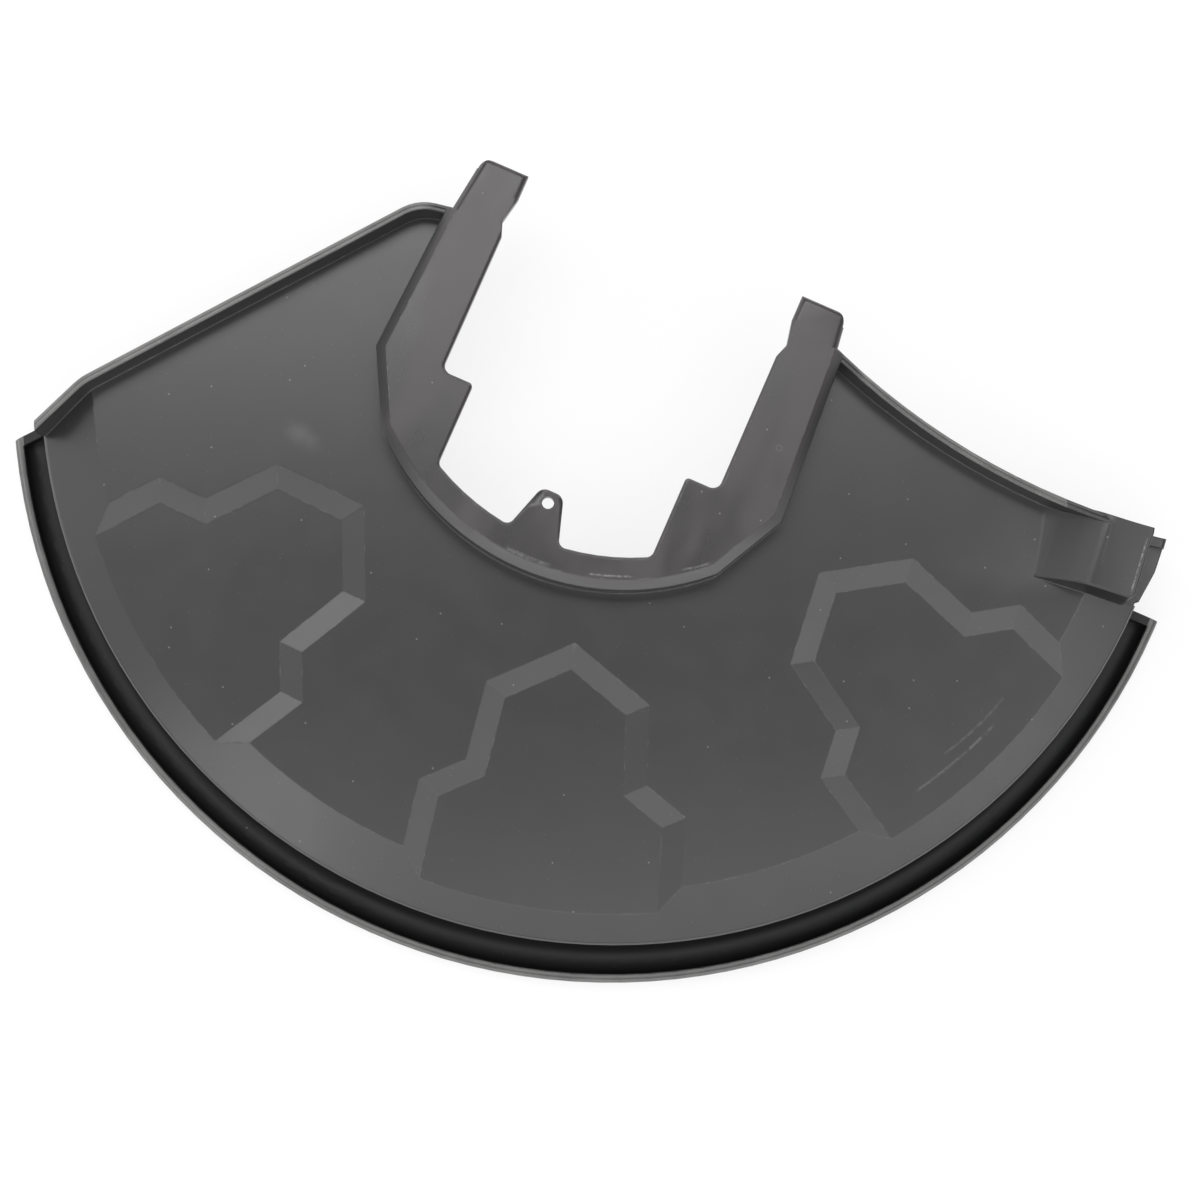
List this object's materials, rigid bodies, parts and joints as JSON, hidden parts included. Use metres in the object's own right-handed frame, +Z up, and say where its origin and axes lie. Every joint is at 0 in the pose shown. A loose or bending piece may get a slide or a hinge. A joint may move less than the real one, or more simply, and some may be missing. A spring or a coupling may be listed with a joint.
{
  "type": "trimmer blade guard",
  "caption": "Fan-shaped blade guard for a grass trimmer: one moulding with a skirt and troughed brim, raised edge rims, shallow hexagon recesses and a forked collar with a screw ear.",
  "frame": {"origin": "on the blade axis, the centre of the guard's arc, at the height of the brim's underside", "axes": "+Z up along the blade axis, out of the guard's outer face; +X along its longest side; the fan opens towards -Y and the arms point towards +Y, turned 23.5 degrees clockwise seen from above"},
  "size_m": [0.2964, 0.2053, 0.0377],
  "materials": {
    "guard_plastic": "satin"
  },
  "bodies": {
    "root": {"blade_guard": "guard_plastic"}
  },
  "joints": []
}
